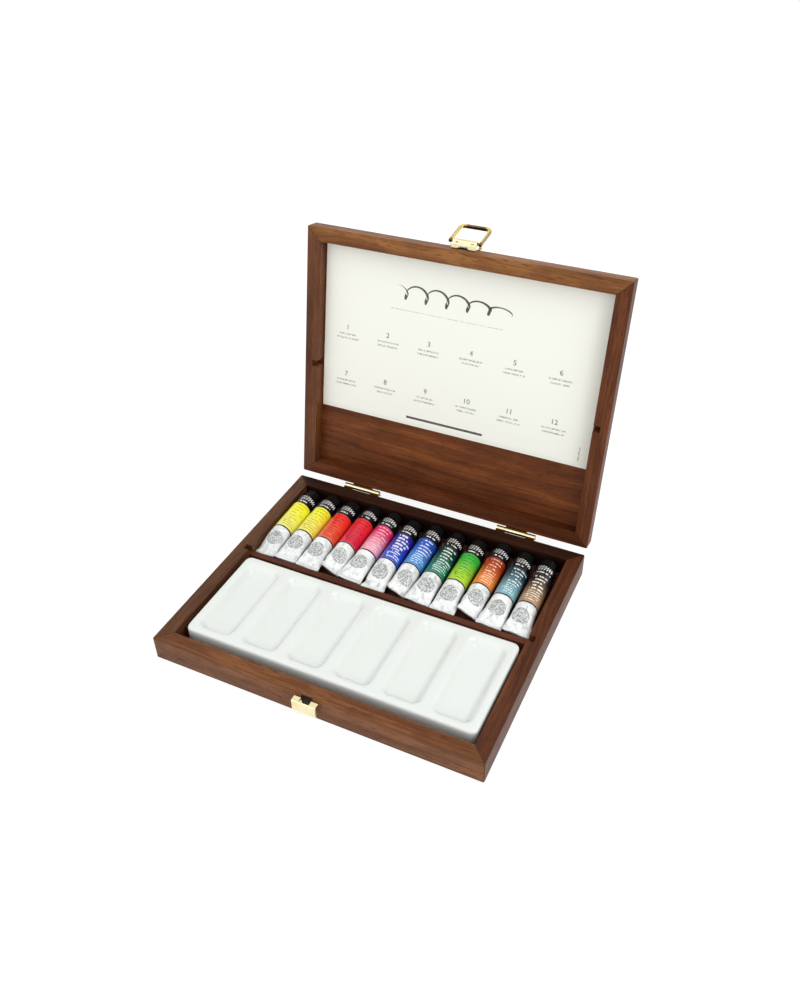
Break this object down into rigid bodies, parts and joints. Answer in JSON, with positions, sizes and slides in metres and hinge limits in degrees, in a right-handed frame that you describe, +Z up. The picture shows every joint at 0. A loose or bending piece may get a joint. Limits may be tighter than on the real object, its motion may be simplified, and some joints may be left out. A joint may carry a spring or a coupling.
{
  "type": "wooden watercolor box",
  "caption": "Hinged wooden box with a brass swing-bail catch, holding a row of paint tubes behind a divider and a porcelain palette with long wells.",
  "frame": {"origin": "centre of the base's underside", "axes": "+X to the right along the hinges, +Y to the back where the hinges are, +Z up"},
  "size_m": [0.25, 0.2885, 0.2334],
  "materials": {
    "walnut_stained_wood": "satin",
    "panel_wood": "satin",
    "brass": "satin",
    "porcelain": "gloss",
    "card": "matte",
    "cap_plastic": "satin",
    "tube_01": "satin",
    "tube_02": "satin",
    "tube_03": "satin",
    "tube_04": "satin",
    "tube_05": "satin",
    "tube_06": "satin",
    "tube_07": "satin",
    "tube_08": "satin",
    "tube_09": "satin",
    "tube_10": "satin",
    "tube_11": "satin",
    "tube_12": "satin"
  },
  "bodies": {
    "base": {"base_back_rail": "walnut_stained_wood", "base_bottom_panel": "panel_wood", "base_front_rail": "walnut_stained_wood", "base_left_rail": "walnut_stained_wood", "base_right_rail": "walnut_stained_wood", "catch_keeper": "brass", "catch_keeper_screws": "brass", "compartment_divider": "walnut_stained_wood", "hinge_base_leaf_left": "brass", "hinge_base_leaf_right": "brass", "hinge_base_screws": "brass", "hinge_pin_left": "brass", "hinge_pin_right": "brass"},
    "lid": {"catch_bracket": "brass", "catch_bracket_pins": "brass", "hinge_lid_leaf_left": "brass", "hinge_lid_leaf_right": "brass", "hinge_lid_screws": "brass", "lid_back_rail": "walnut_stained_wood", "lid_card": "card", "lid_front_rail": "walnut_stained_wood", "lid_left_rail": "walnut_stained_wood", "lid_panel": "panel_wood", "lid_right_rail": "walnut_stained_wood"},
    "bail": {"catch_bail": "brass"},
    "palette": {"palette": "porcelain"},
    "tube_01": {"tube_01": "tube_01"},
    "cap_01": {"cap_01": "cap_plastic"},
    "tube_02": {"tube_02": "tube_02"},
    "cap_02": {"cap_02": "cap_plastic"},
    "tube_03": {"tube_03": "tube_03"},
    "cap_03": {"cap_03": "cap_plastic"},
    "tube_04": {"tube_04": "tube_04"},
    "cap_04": {"cap_04": "cap_plastic"},
    "tube_05": {"tube_05": "tube_05"},
    "cap_05": {"cap_05": "cap_plastic"},
    "tube_06": {"tube_06": "tube_06"},
    "cap_06": {"cap_06": "cap_plastic"},
    "tube_07": {"tube_07": "tube_07"},
    "cap_07": {"cap_07": "cap_plastic"},
    "tube_08": {"tube_08": "tube_08"},
    "cap_08": {"cap_08": "cap_plastic"},
    "tube_09": {"tube_09": "tube_09"},
    "cap_09": {"cap_09": "cap_plastic"},
    "tube_10": {"tube_10": "tube_10"},
    "cap_10": {"cap_10": "cap_plastic"},
    "tube_11": {"tube_11": "tube_11"},
    "cap_11": {"cap_11": "cap_plastic"},
    "tube_12": {"tube_12": "tube_12"},
    "cap_12": {"cap_12": "cap_plastic"}
  },
  "joints": [
    {"name": "lid_hinge", "type": "hinge", "parent": "base", "child": "lid", "pos_m": [0, 0.1071, 0.019], "axis": [-1, 0, 0], "range_deg": [-101, 0]},
    {"name": "bail_swing", "type": "hinge", "parent": "lid", "child": "bail", "pos_m": [0, 0.15676, 0.22939], "axis": [1, 0, 0], "range_deg": [0, 165.5]},
    {"name": "palette_lift", "type": "slide", "parent": "base", "child": "palette", "axis": [0, 0, 1], "range_m": [0, 0.035]},
    {"name": "tube_01_lift", "type": "slide", "parent": "base", "child": "tube_01", "axis": [0, 0, 1], "range_m": [0, 0.04]},
    {"name": "cap_01_turn", "type": "hinge", "parent": "tube_01", "child": "cap_01", "pos_m": [-0.1052, 0.085, 0.01245], "axis": [0, 1, 0], "continuous": true},
    {"name": "tube_02_lift", "type": "slide", "parent": "base", "child": "tube_02", "axis": [0, 0, 1], "range_m": [0, 0.04]},
    {"name": "cap_02_turn", "type": "hinge", "parent": "tube_02", "child": "cap_02", "pos_m": [-0.08635, 0.085, 0.01245], "axis": [0, 1, 0], "continuous": true},
    {"name": "tube_03_lift", "type": "slide", "parent": "base", "child": "tube_03", "axis": [0, 0, 1], "range_m": [0, 0.04]},
    {"name": "cap_03_turn", "type": "hinge", "parent": "tube_03", "child": "cap_03", "pos_m": [-0.0675, 0.085, 0.01245], "axis": [0, 1, 0], "continuous": true},
    {"name": "tube_04_lift", "type": "slide", "parent": "base", "child": "tube_04", "axis": [0, 0, 1], "range_m": [0, 0.04]},
    {"name": "cap_04_turn", "type": "hinge", "parent": "tube_04", "child": "cap_04", "pos_m": [-0.04865, 0.085, 0.01245], "axis": [0, 1, 0], "continuous": true},
    {"name": "tube_05_lift", "type": "slide", "parent": "base", "child": "tube_05", "axis": [0, 0, 1], "range_m": [0, 0.04]},
    {"name": "cap_05_turn", "type": "hinge", "parent": "tube_05", "child": "cap_05", "pos_m": [-0.0298, 0.085, 0.01245], "axis": [0, 1, 0], "continuous": true},
    {"name": "tube_06_lift", "type": "slide", "parent": "base", "child": "tube_06", "axis": [0, 0, 1], "range_m": [0, 0.04]},
    {"name": "cap_06_turn", "type": "hinge", "parent": "tube_06", "child": "cap_06", "pos_m": [-0.01095, 0.085, 0.01245], "axis": [0, 1, 0], "continuous": true},
    {"name": "tube_07_lift", "type": "slide", "parent": "base", "child": "tube_07", "axis": [0, 0, 1], "range_m": [0, 0.04]},
    {"name": "cap_07_turn", "type": "hinge", "parent": "tube_07", "child": "cap_07", "pos_m": [0.0079, 0.085, 0.01245], "axis": [0, 1, 0], "continuous": true},
    {"name": "tube_08_lift", "type": "slide", "parent": "base", "child": "tube_08", "axis": [0, 0, 1], "range_m": [0, 0.04]},
    {"name": "cap_08_turn", "type": "hinge", "parent": "tube_08", "child": "cap_08", "pos_m": [0.02675, 0.085, 0.01245], "axis": [0, 1, 0], "continuous": true},
    {"name": "tube_09_lift", "type": "slide", "parent": "base", "child": "tube_09", "axis": [0, 0, 1], "range_m": [0, 0.04]},
    {"name": "cap_09_turn", "type": "hinge", "parent": "tube_09", "child": "cap_09", "pos_m": [0.0456, 0.085, 0.01245], "axis": [0, 1, 0], "continuous": true},
    {"name": "tube_10_lift", "type": "slide", "parent": "base", "child": "tube_10", "axis": [0, 0, 1], "range_m": [0, 0.04]},
    {"name": "cap_10_turn", "type": "hinge", "parent": "tube_10", "child": "cap_10", "pos_m": [0.06445, 0.085, 0.01245], "axis": [0, 1, 0], "continuous": true},
    {"name": "tube_11_lift", "type": "slide", "parent": "base", "child": "tube_11", "axis": [0, 0, 1], "range_m": [0, 0.04]},
    {"name": "cap_11_turn", "type": "hinge", "parent": "tube_11", "child": "cap_11", "pos_m": [0.0833, 0.085, 0.01245], "axis": [0, 1, 0], "continuous": true},
    {"name": "tube_12_lift", "type": "slide", "parent": "base", "child": "tube_12", "axis": [0, 0, 1], "range_m": [0, 0.04]},
    {"name": "cap_12_turn", "type": "hinge", "parent": "tube_12", "child": "cap_12", "pos_m": [0.10215, 0.085, 0.01245], "axis": [0, 1, 0], "continuous": true}
  ]
}
